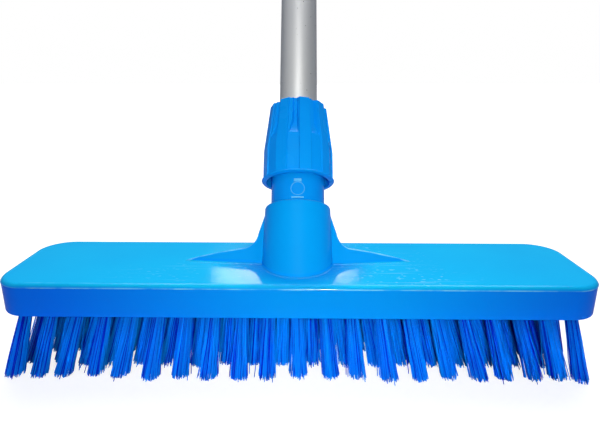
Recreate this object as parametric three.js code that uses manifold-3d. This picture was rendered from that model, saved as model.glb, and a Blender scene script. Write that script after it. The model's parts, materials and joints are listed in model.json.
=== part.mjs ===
// Floor scrub brush: a moulded block with stapled tufts, and a screwed-in handle with a clamped tube.
// Millimetres, +Z up. The origin is on the floor, under the middle of the block.
// +X runs along the block, and the handle leans back towards +Y.
import * as THREE from 'three';
import { mergeVertices } from 'three/addons/utils/BufferGeometryUtils.js';
import Module from 'manifold-3d';

// Brush block
const BLOCK_LENGTH = 300;
const BLOCK_WIDTH = 65;
const BLOCK_HEIGHT = 17.3;
const BLOCK_CORNER = 16;
const BLOCK_EDGE = 1.5;

// Tufts, drilled in at a flare and trimmed level
const BRISTLE_LENGTH = 36.5;
const TUFT_ROOT_RADIUS = 3;
const TUFT_TIP_RADIUS = 4.7;
const TUFT_END_MARGIN = 13.3;
const LONG_ROW_COUNT = 21;
const ROW_SIDE_MARGIN = 10.9;
const ROW_COUNT = 5;
const TUFT_HOLE_DEPTH = 10;
const TUFT_CLEARANCE = 0.3;
const END_LEAN = THREE.MathUtils.degToRad(16);
const LEAN_SPREAD = 60;
const OUTER_ROW_LEAN = THREE.MathUtils.degToRad(6);
const ROW_WEB_WIDTH = 2;
const ROW_WEB_HEIGHT = 1.2;

// Staple anchors of the front row
const ANCHOR_LENGTH = 8.2;
const ANCHOR_THICKNESS = 0.6;
const ANCHOR_HEIGHT = 2;
const ANCHOR_CLEARANCE = 0.3;
const FOLD_OVER_ANCHOR = 1;

// Handle axis and socket: distances along the axis start at the block's top face
const HANDLE_LEAN = THREE.MathUtils.degToRad(32);
const SOCKET_HEIGHT = 30;
const SOCKET_RIM_RADIUS = 18.05;
const SOCKET_FOOT_RADIUS = 19;
const SOCKET_EDGE = 1.5;
const SOCKET_SINK = 8;
const COUNTERBORE_DEPTH = 4;
const SOCKET_BORE_BOTTOM = 5;

// Wings beside the socket, in the plane of the handle's axis
const WING_REACH = 62;
const WING_KNEE_X = 28;
const WING_KNEE_HEIGHT = 7.4;
const WING_BEND_X = 22.4;
const WING_BEND_HEIGHT = 9.4;
const WING_CURVE_X = 21.4;
const WING_CURVE_HEIGHT = 15.5;
const WING_TOP_HEIGHT = 26;
const WING_FOOT_HALF = 3.8;
const WING_RIDGE_HALF = 0.8;

// Handle thread
const HANDLE_THREAD_ROOT = 9.4;
const HANDLE_THREAD_CREST = 11;
const HANDLE_THREAD_PITCH = 5;
const HANDLE_THREAD_TURNS = 3;
const THREAD_CLEARANCE = 0.5;
const THREAD_RIDGE_HALF = 0.1;
const THREAD_FLANK = 0.12;
const THREAD_RUN_IN = 0.4;
const THREAD_SIDES = 12;
const THREAD_STEPS_PER_TURN = 12;

// Neck fitting, with its stud below and its clamp thread above
const NECK_RADIUS = 14.75;
const NECK_CLEARANCE = 0.3;
const STUD_LENGTH = 19;
const STUD_CORE_RADIUS = 6;
const STUD_LEAD_OUT = 2;
const TUBE_FLOOR_ABOVE_SHOULDER = 4;
const NECK_LENGTH = 35;
const CLAMP_THREAD_CREST = 16.2;
const CLAMP_THREAD_PITCH = 4;
const CLAMP_THREAD_TURNS = 2;
const CLAMP_THREAD_BELOW_TOP = 3;

// Seal washer under the neck's shoulder
const SEAL_THICKNESS = 1.5;
const SEAL_INNER_RADIUS = 11.9;
const SEAT_GAP = 0.3;

// Clamp nut
const NUT_START = 45;
const NUT_LENGTH = 45.5;
const NUT_LIP_RADIUS = 20.4;
const NUT_LIP_HEIGHT = 4;
const NUT_SKIRT_RADIUS = 19.8;
const NUT_SKIRT_HEIGHT = 13;
const NUT_TOP_RADIUS = 15.9;
const NUT_TOP_EDGE = 1.6;
const NUT_LIP_EDGE = 0.8;
const NUT_FACETS = 18;
const NUT_MOUTH_RADIUS = 17.8;
const NUT_MOUTH_DEPTH = 6;
const NUT_TOP_WALL = 4;
const NUT_SLOT_WIDTH = 3.4;
const NUT_SLOT_DEPTH = 1.3;
const NUT_SLOT_LENGTH = 19;

// Collet between the nut and the tube
const COLLET_FOOT_RADIUS = 15.2;
const COLLET_TOP_RADIUS = 12.9;
const COLLET_SLIT = 2;

// Handle tube and its hanger cap
const TUBE_RADIUS = 11;
const TUBE_WALL = 1.2;
const TUBE_LENGTH = 1200;
const TUBE_CLEARANCE = 0.3;
const CAP_PLUG_LENGTH = 26;
const CAP_RADIUS = 11.8;
const CAP_HEIGHT = 34;
const CAP_TAB_THICKNESS = 13;
const CAP_COLLAR_HEIGHT = 5;
const CAP_EYE_RADIUS = 5;
const RIVET_RADIUS = 2;
const RIVET_HEAD_RADIUS = 3.4;
const RIVET_HEAD_HEIGHT = 0.9;
const RIVET_DEPTH = 14;

// Facets of round shapes, and what the cuts need
const ROUND_SIDES = 28;
const PIN_SIDES = 16;
const FRONT_SIDES = 8;
const INNER_SIDES = 6;
const CUT_MARGIN = 1;
const MERGE_DISTANCE = 1e-4;
const FAR = 400;

// Derived places
const TUFT_PITCH = (BLOCK_LENGTH - 2 * TUFT_END_MARGIN) / (LONG_ROW_COUNT - 1);
const ROW_PITCH = (BLOCK_WIDTH - 2 * ROW_SIDE_MARGIN) / (ROW_COUNT - 1);
const UNDERSIDE = BRISTLE_LENGTH;
const BLOCK_TOP = UNDERSIDE + BLOCK_HEIGHT;
const COUNTERBORE_FLOOR = SOCKET_HEIGHT - COUNTERBORE_DEPTH;
const SHOULDER = COUNTERBORE_FLOOR + SEAT_GAP + SEAL_THICKNESS + SEAT_GAP;
const STUD_TIP = SHOULDER - STUD_LENGTH;
const TUBE_FLOOR = SHOULDER + TUBE_FLOOR_ABOVE_SHOULDER;
const NECK_TOP = SHOULDER + NECK_LENGTH;
const TUBE_BORE_RADIUS = TUBE_RADIUS + TUBE_CLEARANCE;
const TUBE_START = TUBE_FLOOR + SEAT_GAP;
const TUBE_END = TUBE_START + TUBE_LENGTH;
const COLLET_START = NECK_TOP + SEAT_GAP;
const NUT_TOP = NUT_START + NUT_LENGTH;
const COLLET_END = NUT_TOP - NUT_TOP_WALL - SEAT_GAP;
const CAP_BASE = TUBE_END + SEAT_GAP;
const EYE_PLACE = CAP_BASE + CAP_HEIGHT - CAP_RADIUS;
const RIVET_PLACE = TUBE_END - RIVET_DEPTH;

const wasm = await Module();
wasm.setup();

// Closed shapes and their cuts
function solid(geometry) {
  const bare = geometry.clone();
  bare.deleteAttribute('normal');
  bare.deleteAttribute('uv');
  const merged = mergeVertices(bare, MERGE_DISTANCE);
  const corners = merged.index.array;
  const kept = [];
  for (let i = 0; i < corners.length; i += 3) {
    const [a, b, c] = [corners[i], corners[i + 1], corners[i + 2]];
    if (a !== b && b !== c && c !== a) kept.push(a, b, c);
  }
  return new wasm.Manifold(new wasm.Mesh({
    numProp: 3,
    vertProperties: new Float32Array(merged.attributes.position.array),
    triVerts: new Uint32Array(kept),
  }));
}

function geometryOf(body) {
  const mesh = body.getMesh();
  const geometry = new THREE.BufferGeometry();
  geometry.setAttribute('position', new THREE.BufferAttribute(mesh.vertProperties, 3));
  geometry.setIndex(new THREE.BufferAttribute(mesh.triVerts, 1));
  geometry.computeVertexNormals();
  return geometry;
}

// Round shape about Z from a profile of [radius, height] points that runs upwards
function turned(profile, sides = ROUND_SIDES) {
  const points = profile.map(([radius, height]) => new THREE.Vector2(radius, height));
  const geometry = new THREE.LatheGeometry(points, sides);
  return geometry.rotateX(Math.PI / 2);
}

function rod(radius, from, to, sides = ROUND_SIDES) {
  return turned([[0, from], [radius, from], [radius, to], [0, to]], sides);
}

function box(sizeX, sizeY, sizeZ, x = 0, y = 0, z = 0) {
  return new THREE.BoxGeometry(sizeX, sizeY, sizeZ).translate(x, y, z);
}

// Removes what lies beyond a plane, on the side that its normal points to
function cutBeyond(body, plane) {
  const turn = new THREE.Quaternion().setFromUnitVectors(new THREE.Vector3(0, 0, 1), plane.normal);
  const slab = box(FAR, FAR, FAR, 0, 0, FAR / 2).applyQuaternion(turn);
  const foot = plane.coplanarPoint(new THREE.Vector3());
  return body.subtract(solid(slab.translate(foot.x, foot.y, foot.z)));
}

// Threads: a one-lobed outline is stretched along the axis and turned once per pitch
function threadRadius(turn, thread) {
  const rise = (thread.ridgeHalf + THREAD_FLANK - Math.abs(turn)) / THREAD_FLANK;
  return THREE.MathUtils.lerp(thread.root, thread.crest, THREE.MathUtils.clamp(rise, 0, 1));
}

function threaded(thread, from, to) {
  const outline = new THREE.Shape();
  for (let i = 0; i < THREAD_SIDES; i += 1) {
    const turn = i / THREAD_SIDES;
    const radius = threadRadius(turn > 0.5 ? turn - 1 : turn, thread);
    const angle = turn * 2 * Math.PI;
    const place = [radius * Math.cos(angle), radius * Math.sin(angle)];
    if (i === 0) outline.moveTo(...place);
    else outline.lineTo(...place);
  }
  outline.closePath();
  const steps = Math.ceil((to - from) / thread.pitch * THREAD_STEPS_PER_TURN);
  const geometry = new THREE.ExtrudeGeometry(outline, { depth: to - from, steps, bevelEnabled: false });
  geometry.translate(0, 0, from);
  const points = geometry.attributes.position;
  const point = new THREE.Vector3();
  const up = new THREE.Vector3(0, 0, 1);
  for (let i = 0; i < points.count; i += 1) {
    point.fromBufferAttribute(points, i);
    point.applyAxisAngle(up, point.z / thread.pitch * 2 * Math.PI);
    points.setXYZ(i, point.x, point.y, point.z);
  }
  return geometry;
}

const handleThread = {
  root: HANDLE_THREAD_ROOT,
  crest: HANDLE_THREAD_CREST,
  pitch: HANDLE_THREAD_PITCH,
  ridgeHalf: THREAD_RIDGE_HALF,
};

const clampThread = {
  root: NECK_RADIUS,
  crest: CLAMP_THREAD_CREST,
  pitch: CLAMP_THREAD_PITCH,
  ridgeHalf: THREAD_RIDGE_HALF,
};

// The thread that a ridge runs in, wider by the clearance all round, also across the flats of its outline
function matingThread(thread) {
  const acrossFlats = Math.cos(Math.PI / THREAD_SIDES);
  return {
    root: (thread.root + THREAD_CLEARANCE) / acrossFlats,
    crest: (thread.crest + THREAD_CLEARANCE) / acrossFlats,
    pitch: thread.pitch,
    ridgeHalf: thread.ridgeHalf + THREAD_CLEARANCE / thread.pitch,
  };
}

// The handle's axis as a frame: its origin is on the block's top face and its Z runs up the handle
const handleFrame = new THREE.Matrix4().makeRotationX(-HANDLE_LEAN).setPosition(0, 0, BLOCK_TOP);

// Tufts
function tuftPlaces(row) {
  const isLong = row % 2 === 0;
  const count = isLong ? LONG_ROW_COUNT : LONG_ROW_COUNT - 1;
  const middleRow = (ROW_COUNT - 1) / 2;
  const places = [];
  for (let i = 0; i < count; i += 1) {
    const x = (i - (count - 1) / 2) * TUFT_PITCH;
    places.push({
      x,
      y: (row - middleRow) * ROW_PITCH,
      leanX: END_LEAN * x / Math.hypot(x, LEAN_SPREAD),
      leanY: OUTER_ROW_LEAN * (row - middleRow) / middleRow,
    });
  }
  return places;
}

// Slants a shape that is drawn upright about the mouth of its hole, and sets it in place
function flared(geometry, place) {
  const slant = new THREE.Matrix4();
  slant.makeShear(0, 0, 0, 0, -Math.tan(place.leanX), -Math.tan(place.leanY));
  return geometry.applyMatrix4(slant).translate(place.x, place.y, UNDERSIDE);
}

function tuftBody(place, sides) {
  const profile = [
    [0, -BRISTLE_LENGTH],
    [TUFT_TIP_RADIUS, -BRISTLE_LENGTH],
    [TUFT_ROOT_RADIUS, 0],
    [TUFT_ROOT_RADIUS, TUFT_HOLE_DEPTH - TUFT_CLEARANCE],
    [0, TUFT_HOLE_DEPTH - TUFT_CLEARANCE],
  ];
  return solid(flared(turned(profile, sides), place));
}

function tuftHole(place, sides) {
  return solid(flared(rod(TUFT_ROOT_RADIUS + TUFT_CLEARANCE, -CUT_MARGIN, TUFT_HOLE_DEPTH, sides), place));
}

// A staple lies across its hole, inside the fold of the tuft, and its ends bite into the block
function anchorBox(place, clearance) {
  const height = TUFT_HOLE_DEPTH - TUFT_CLEARANCE - FOLD_OVER_ANCHOR - ANCHOR_CLEARANCE - ANCHOR_HEIGHT / 2;
  return solid(flared(box(
    ANCHOR_LENGTH + 2 * clearance,
    ANCHOR_THICKNESS + 2 * clearance,
    ANCHOR_HEIGHT + 2 * clearance,
    0,
    0,
    height,
  ), place));
}

const rowPlaces = Array.from({ length: ROW_COUNT }, (unused, row) => tuftPlaces(row));
const frontPlaces = rowPlaces[0];

function frontTuft(place) {
  return tuftBody(place, FRONT_SIDES).subtract(anchorBox(place, ANCHOR_CLEARANCE));
}

// The tufts of a row behind the front one, joined by a thin web under the block
function tuftRow(places) {
  const first = places[0];
  const span = places[places.length - 1].x - first.x;
  const webHeight = UNDERSIDE - TUFT_CLEARANCE - ROW_WEB_HEIGHT / 2;
  let body = solid(box(span, ROW_WEB_WIDTH, ROW_WEB_HEIGHT, 0, first.y, webHeight));
  for (const place of places) body = body.add(tuftBody(place, INNER_SIDES));
  return body;
}

// Brush block
function roundedOutline(length, width, corner) {
  const [x, y] = [length / 2, width / 2];
  const outline = new THREE.Shape();
  outline.moveTo(-x + corner, -y);
  outline.lineTo(x - corner, -y);
  outline.absarc(x - corner, -y + corner, corner, -Math.PI / 2, 0, false);
  outline.lineTo(x, y - corner);
  outline.absarc(x - corner, y - corner, corner, 0, Math.PI / 2, false);
  outline.lineTo(-x + corner, y);
  outline.absarc(-x + corner, y - corner, corner, Math.PI / 2, Math.PI, false);
  outline.lineTo(-x, -y + corner);
  outline.absarc(-x + corner, -y + corner, corner, Math.PI, 1.5 * Math.PI, false);
  return outline;
}

function plateBody() {
  const inset = 2 * BLOCK_EDGE;
  const outline = roundedOutline(BLOCK_LENGTH - inset, BLOCK_WIDTH - inset, BLOCK_CORNER - BLOCK_EDGE);
  const plate = new THREE.ExtrudeGeometry(outline, {
    depth: BLOCK_HEIGHT - inset,
    bevelThickness: BLOCK_EDGE,
    bevelSize: BLOCK_EDGE,
    bevelSegments: 2,
    curveSegments: 6,
  });
  return solid(plate.translate(0, 0, UNDERSIDE + BLOCK_EDGE));
}

// Keeps only what lies above the level to which the socket and wings sink into the plate
function aboveSink(body) {
  return body.intersect(solid(box(FAR, FAR, FAR, 0, 0, BLOCK_TOP - SOCKET_SINK + FAR / 2)));
}

function socketBody() {
  const slope = (SOCKET_FOOT_RADIUS - SOCKET_RIM_RADIUS) / SOCKET_HEIGHT;
  const depth = SOCKET_HEIGHT;
  const profile = [
    [0, -depth],
    [SOCKET_FOOT_RADIUS + slope * depth, -depth],
    [SOCKET_RIM_RADIUS, SOCKET_HEIGHT - SOCKET_EDGE],
    [SOCKET_RIM_RADIUS - SOCKET_EDGE * (1 - Math.SQRT1_2), SOCKET_HEIGHT - SOCKET_EDGE * (1 - Math.SQRT1_2)],
    [SOCKET_RIM_RADIUS - SOCKET_EDGE, SOCKET_HEIGHT],
    [0, SOCKET_HEIGHT],
  ];
  return aboveSink(solid(turned(profile).applyMatrix4(handleFrame)));
}

// One wing, thick at its foot and thin along its ridge and towards its tip
function wingBody() {
  const outline = new THREE.Shape();
  outline.moveTo(0, -SOCKET_SINK);
  outline.lineTo(WING_REACH, -SOCKET_SINK);
  outline.lineTo(WING_REACH, 0);
  outline.lineTo(WING_KNEE_X, WING_KNEE_HEIGHT);
  outline.quadraticCurveTo(WING_BEND_X, WING_BEND_HEIGHT, WING_CURVE_X, WING_CURVE_HEIGHT);
  outline.lineTo(SOCKET_RIM_RADIUS, WING_TOP_HEIGHT);
  outline.lineTo(0, WING_TOP_HEIGHT);
  const thickness = 4 * WING_FOOT_HALF;
  const sheet = new THREE.ExtrudeGeometry(outline, { depth: thickness, bevelEnabled: false, curveSegments: 5 });
  let body = solid(sheet.translate(0, 0, -thickness / 2).rotateX(Math.PI / 2));
  for (const side of [-1, 1]) {
    const tip = new THREE.Vector3(WING_REACH, 0, 0);
    const foot = new THREE.Vector3(SOCKET_FOOT_RADIUS, side * WING_FOOT_HALF, 0);
    const ridge = new THREE.Vector3(SOCKET_RIM_RADIUS, side * WING_RIDGE_HALF, WING_TOP_HEIGHT);
    const face = new THREE.Plane().setFromCoplanarPoints(tip, foot, ridge);
    if (face.normal.y * side < 0) face.negate();
    body = cutBeyond(body, face);
  }
  return body;
}

function wingsBody() {
  const right = geometryOf(wingBody());
  const left = right.clone().rotateZ(Math.PI);
  const both = solid(right.applyMatrix4(handleFrame)).add(solid(left.applyMatrix4(handleFrame)));
  return aboveSink(both);
}

function socketBore() {
  const counterbore = rod(NECK_RADIUS + NECK_CLEARANCE, COUNTERBORE_FLOOR, SOCKET_HEIGHT + CUT_MARGIN);
  const thread = threaded(matingThread(handleThread), SOCKET_BORE_BOTTOM, COUNTERBORE_FLOOR + CUT_MARGIN);
  return solid(counterbore.applyMatrix4(handleFrame)).add(solid(thread.applyMatrix4(handleFrame)));
}

function brushBlock() {
  let body = plateBody().add(socketBody()).add(wingsBody()).subtract(socketBore());
  rowPlaces.forEach((places, row) => {
    for (const place of places) {
      body = body.subtract(tuftHole(place, row === 0 ? FRONT_SIDES : INNER_SIDES));
      if (row === 0) body = body.subtract(anchorBox(place, ANCHOR_CLEARANCE));
    }
  });
  return body;
}

// Pieces on the handle's axis, drawn with Z along it
function neckFitting() {
  const threadEnd = NECK_TOP - CLAMP_THREAD_BELOW_TOP;
  const threadStart = threadEnd - CLAMP_THREAD_TURNS * CLAMP_THREAD_PITCH;
  const studThreadStart = STUD_TIP + STUD_LEAD_OUT;
  const studThreadEnd = studThreadStart + HANDLE_THREAD_TURNS * HANDLE_THREAD_PITCH;
  return solid(rod(NECK_RADIUS, SHOULDER, threadStart))
    .add(solid(threaded(clampThread, threadStart - THREAD_RUN_IN, threadEnd + THREAD_RUN_IN)))
    .add(solid(rod(NECK_RADIUS, threadEnd, NECK_TOP)))
    .add(solid(rod(HANDLE_THREAD_ROOT, STUD_TIP, studThreadStart)))
    .add(solid(threaded(handleThread, studThreadStart - THREAD_RUN_IN, studThreadEnd + THREAD_RUN_IN)))
    .add(solid(rod(HANDLE_THREAD_ROOT, studThreadEnd, SHOULDER + CUT_MARGIN)))
    .subtract(solid(rod(TUBE_BORE_RADIUS, TUBE_FLOOR, NECK_TOP + CUT_MARGIN)))
    .subtract(solid(rod(STUD_CORE_RADIUS, STUD_TIP - CUT_MARGIN, SHOULDER)));
}

function sealWasher() {
  const bottom = COUNTERBORE_FLOOR + SEAT_GAP;
  const top = bottom + SEAL_THICKNESS;
  return solid(rod(NECK_RADIUS, bottom, top))
    .subtract(solid(rod(SEAL_INNER_RADIUS, bottom - CUT_MARGIN, top + CUT_MARGIN)));
}

function nutSlot(angle) {
  const slope = Math.atan2(NUT_SKIRT_RADIUS - NUT_TOP_RADIUS, NUT_LENGTH - NUT_LIP_HEIGHT - NUT_SKIRT_HEIGHT);
  const ramp = slope - Math.atan2(NUT_SLOT_DEPTH, NUT_SLOT_LENGTH);
  const length = 2 * NUT_SLOT_LENGTH;
  const floor = NUT_TOP_RADIUS - NUT_SLOT_DEPTH;
  const cutter = box(NUT_SLOT_WIDTH, NUT_TOP_RADIUS, length, 0, -NUT_TOP_RADIUS / 2, 0);
  cutter.rotateX(-ramp).translate(0, -floor, NUT_TOP).rotateZ(angle);
  return solid(cutter);
}

function clampNut() {
  const lipTop = NUT_START + NUT_LIP_HEIGHT;
  const skirtTop = lipTop + NUT_SKIRT_HEIGHT;
  const outer = [
    [0, NUT_START],
    [NUT_LIP_RADIUS - NUT_LIP_EDGE, NUT_START],
    [NUT_LIP_RADIUS, NUT_START + NUT_LIP_EDGE],
    [NUT_LIP_RADIUS, lipTop - NUT_LIP_EDGE],
    [NUT_SKIRT_RADIUS, lipTop],
    [NUT_SKIRT_RADIUS, skirtTop],
    [NUT_TOP_RADIUS, NUT_TOP - NUT_TOP_EDGE],
    [NUT_TOP_RADIUS - NUT_TOP_EDGE, NUT_TOP],
    [0, NUT_TOP],
  ];
  const mouthTop = NUT_START + NUT_MOUTH_DEPTH;
  const seat = [
    [0, COLLET_START - SEAT_GAP],
    [COLLET_FOOT_RADIUS + SEAT_GAP, COLLET_START - SEAT_GAP],
    [COLLET_TOP_RADIUS + SEAT_GAP, COLLET_END + SEAT_GAP],
    [0, COLLET_END + SEAT_GAP],
  ];
  let body = solid(turned(outer, NUT_FACETS))
    .subtract(solid(rod(NUT_MOUTH_RADIUS, NUT_START - CUT_MARGIN, mouthTop)))
    .subtract(solid(threaded(matingThread(clampThread), mouthTop - CUT_MARGIN, NECK_TOP)))
    .subtract(solid(turned(seat)))
    .subtract(solid(rod(TUBE_BORE_RADIUS, COLLET_END, NUT_TOP + CUT_MARGIN)));
  const facet = 2 * Math.PI / NUT_FACETS;
  for (let i = 0; i < NUT_FACETS; i += 2) body = body.subtract(nutSlot((i - 0.5) * facet));
  return body;
}

function collet() {
  const outer = [
    [0, COLLET_START],
    [COLLET_FOOT_RADIUS, COLLET_START],
    [COLLET_TOP_RADIUS, COLLET_END],
    [0, COLLET_END],
  ];
  const slit = box(COLLET_FOOT_RADIUS * 2, COLLET_SLIT, FAR, COLLET_FOOT_RADIUS, 0, COLLET_START);
  return solid(turned(outer))
    .subtract(solid(rod(TUBE_BORE_RADIUS, COLLET_START - CUT_MARGIN, COLLET_END + CUT_MARGIN)))
    .subtract(solid(slit));
}

// A pin across the handle, along X
function crossPin(radius, halfLength, place) {
  return rod(radius, -halfLength, halfLength, PIN_SIDES).rotateY(Math.PI / 2).translate(0, 0, place);
}

function handleTube() {
  const middle = solid(rod(TUBE_RADIUS - TUBE_WALL, TUBE_START - CUT_MARGIN, TUBE_END + CUT_MARGIN));
  return solid(rod(TUBE_RADIUS, TUBE_START, TUBE_END))
    .subtract(middle)
    .subtract(solid(crossPin(RIVET_RADIUS + SEAT_GAP, TUBE_RADIUS + CUT_MARGIN, RIVET_PLACE)));
}

function hangerCap() {
  const plugRadius = TUBE_RADIUS - TUBE_WALL - TUBE_CLEARANCE;
  const collarTop = CAP_BASE + CAP_COLLAR_HEIGHT;
  const domeSteps = 5;
  const dome = [[0, CAP_BASE], [CAP_RADIUS, CAP_BASE]];
  for (let i = 0; i <= domeSteps; i += 1) {
    const angle = i / domeSteps * Math.PI / 2;
    dome.push([CAP_RADIUS * Math.cos(angle), EYE_PLACE + CAP_RADIUS * Math.sin(angle)]);
  }
  const tab = solid(box(CAP_TAB_THICKNESS, FAR, FAR, 0, 0, collarTop + FAR / 2))
    .add(solid(box(FAR, FAR, FAR, 0, 0, collarTop - FAR / 2)));
  return solid(turned(dome))
    .intersect(tab)
    .add(solid(rod(plugRadius, TUBE_END - CAP_PLUG_LENGTH, CAP_BASE + CUT_MARGIN)))
    .subtract(solid(crossPin(CAP_EYE_RADIUS, CAP_RADIUS + CUT_MARGIN, EYE_PLACE)))
    .subtract(solid(crossPin(RIVET_RADIUS + SEAT_GAP, TUBE_RADIUS, RIVET_PLACE)));
}

function capRivet() {
  const headFoot = TUBE_RADIUS + SEAT_GAP;
  const profile = [
    [0, -headFoot - RIVET_HEAD_HEIGHT],
    [RIVET_HEAD_RADIUS * Math.SQRT1_2, -headFoot - RIVET_HEAD_HEIGHT],
    [RIVET_HEAD_RADIUS, -headFoot],
    [RIVET_RADIUS, -headFoot],
    [RIVET_RADIUS, headFoot],
    [RIVET_HEAD_RADIUS, headFoot],
    [RIVET_HEAD_RADIUS * Math.SQRT1_2, headFoot + RIVET_HEAD_HEIGHT],
    [0, headFoot + RIVET_HEAD_HEIGHT],
  ];
  return solid(turned(profile, PIN_SIDES).rotateY(Math.PI / 2).translate(0, 0, RIVET_PLACE));
}

// Materials
const blockBlue = { color: 0x0f9ff0, roughness: 0.3, metalness: 0 };
const fittingBlue = { color: 0x0a8ae8, roughness: 0.35, metalness: 0 };
const bristleBlue = { color: 0x0a62d8, roughness: 0.5, metalness: 0 };
const stapleMetal = { color: 0xb9b3a4, roughness: 0.4, metalness: 1 };
const sealRubber = { color: 0x20242a, roughness: 0.8, metalness: 0 };
const satinAluminium = { color: 0xb4b8ba, roughness: 0.35, metalness: 1 };

function named(name, body, finish) {
  const mesh = new THREE.Mesh(geometryOf(body), new THREE.MeshStandardMaterial(finish));
  mesh.name = name;
  return mesh;
}

function twoDigits(index) {
  return String(index + 1).padStart(2, '0');
}

// The whole brush
const brush = new THREE.Group();
brush.add(named('brush_block', brushBlock(), blockBlue));
frontPlaces.forEach((place, i) => {
  brush.add(named(`front_tuft_${twoDigits(i)}`, frontTuft(place), bristleBlue));
  brush.add(named(`front_anchor_${twoDigits(i)}`, anchorBox(place, 0), stapleMetal));
});
for (let row = 1; row < ROW_COUNT; row += 1) {
  brush.add(named(`tuft_row_${row + 1}`, tuftRow(rowPlaces[row]), bristleBlue));
}

const handle = new THREE.Group();
handle.position.set(0, 0, BLOCK_TOP);
handle.rotation.set(-HANDLE_LEAN, 0, 0);
handle.add(named('seal_washer', sealWasher(), sealRubber));
handle.add(named('neck_fitting', neckFitting(), fittingBlue));
handle.add(named('collet', collet(), fittingBlue));
handle.add(named('clamp_nut', clampNut(), fittingBlue));
handle.add(named('handle_tube', handleTube(), satinAluminium));
handle.add(named('hanger_cap', hangerCap(), fittingBlue));
handle.add(named('cap_rivet', capRivet(), satinAluminium));
brush.add(handle);

export default brush;
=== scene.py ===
"""Looks of the floor scrub brush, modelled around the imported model.

Metres, +Z up, +X along the block, and the handle leans back towards +Y.
A reach is a distance up the handle's axis from the block's top face.
"""
import json
import math
from contextlib import contextmanager

import bmesh
import bpy
import numpy as np
from mathutils import Matrix, Vector


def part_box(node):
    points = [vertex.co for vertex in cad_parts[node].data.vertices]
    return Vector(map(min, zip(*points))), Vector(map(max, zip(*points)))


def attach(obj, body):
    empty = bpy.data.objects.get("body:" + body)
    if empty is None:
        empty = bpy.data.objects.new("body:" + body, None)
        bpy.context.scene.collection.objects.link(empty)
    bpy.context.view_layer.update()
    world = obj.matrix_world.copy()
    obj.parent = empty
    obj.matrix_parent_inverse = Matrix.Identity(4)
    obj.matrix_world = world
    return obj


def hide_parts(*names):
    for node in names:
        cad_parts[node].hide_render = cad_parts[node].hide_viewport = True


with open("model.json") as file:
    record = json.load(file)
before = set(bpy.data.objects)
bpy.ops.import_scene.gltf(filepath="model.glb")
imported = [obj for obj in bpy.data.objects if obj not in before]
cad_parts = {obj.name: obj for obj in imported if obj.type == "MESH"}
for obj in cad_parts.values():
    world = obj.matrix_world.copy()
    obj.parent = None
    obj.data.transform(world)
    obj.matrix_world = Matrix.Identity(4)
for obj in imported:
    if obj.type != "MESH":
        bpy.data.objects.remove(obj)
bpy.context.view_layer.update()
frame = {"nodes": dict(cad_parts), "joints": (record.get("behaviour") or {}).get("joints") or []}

# Places that the frame gives
block_low, block_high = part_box("brush_block")
HALF_LENGTH = block_high.x
HALF_WIDTH = block_high.y
UNDERSIDE = block_low.z
handle_joint = next(joint for joint in frame["joints"] if joint["name"] == "handle_unscrew")
BLOCK_TOP = handle_joint["pos_m"][2]
LEAN = math.atan2(handle_joint["axis"][1], handle_joint["axis"][2])
HANDLE_FRAME = Matrix.Translation((0, 0, BLOCK_TOP)) @ Matrix.Rotation(-LEAN, 4, "X")


def reaches(node):
    """Lowest and highest reach of a CAD node."""
    to_handle = HANDLE_FRAME.inverted()
    heights = [(to_handle @ vertex.co).z for vertex in frame["nodes"][node].data.vertices]
    return min(heights), max(heights)


STUD_TIP, NECK_TOP = reaches("neck_fitting")
SEAL_TOP = reaches("seal_washer")[1]
COLLET_START, COLLET_END = reaches("collet")
NUT_START, NUT_TOP = reaches("clamp_nut")
TUBE_START, TUBE_END = reaches("handle_tube")
PLUG_START, CAP_TOP = reaches("hanger_cap")
SEAT_GAP = 0.0003

# Block
PLATE_CORNER = 0.016
LIP_HEIGHT = 0.0021
LIP_RUN = 0.0024
LIP_STRIP = 0.0005
LIP_PULL = 0.3
PARTING_STEP = 0.00015
PARTING_EDGE = 0.0002
UNDER_ROUND = 0.0007
SOCKET_RIM_REACH = 0.030
SOCKET_RIM_RADIUS = 0.01805
SOCKET_SLOPE = 0.032
SOCKET_ROUND = 0.0015
FOOT_DEPTH = 0.008
COUNTERBORE_RADIUS = 0.0155
COUNTERBORE_DEPTH = 0.004
BORE_RADIUS = 0.01145
BORE_BOTTOM = 0.005
# Painted highlights: a line along the parting edge, and a fainter one where the lip's round ends
EDGE_HIGHLIGHT_HALF = 0.9 * PARTING_EDGE
LIP_HIGHLIGHT_SHARE = 0.5

# Wings: points of the ridge are (distance along X, reach)
WING_TIP = (0.0624, 0.0003)
WING_TIP_SINK = 0.0005
WING_TIP_SINK_POWER = 12
WING_SWELL = (0.044, 0.0051)
WING_KNEE = (0.028, 0.0074)
WING_BEND = (0.0224, 0.0094)
WING_CURVE = (0.0214, 0.0155)
WING_TOP = (0.01805, 0.026)
WING_FOOT_HALF = 0.0039
WING_FOOT_POWER = 2.2
WING_RIDGE_HALF = 0.0009
WING_TIP_HALF = WING_RIDGE_HALF / 6
# Painted highlight along each wing's ridge, within this distance of it
RIDGE_HIGHLIGHT_HALF = 0.75 * WING_RIDGE_HALF
FOOT_FILLET = 0.0012
FILLET_SINK = 0.00003

# Tufts
ROW_COUNT = 5
LONG_ROW_COUNT = 21
TUFT_END_MARGIN = 0.0133
ROW_SIDE_MARGIN = 0.0109
TUFT_PITCH = (2 * HALF_LENGTH - 2 * TUFT_END_MARGIN) / (LONG_ROW_COUNT - 1)
ROW_PITCH = (2 * HALF_WIDTH - 2 * ROW_SIDE_MARGIN) / (ROW_COUNT - 1)
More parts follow.
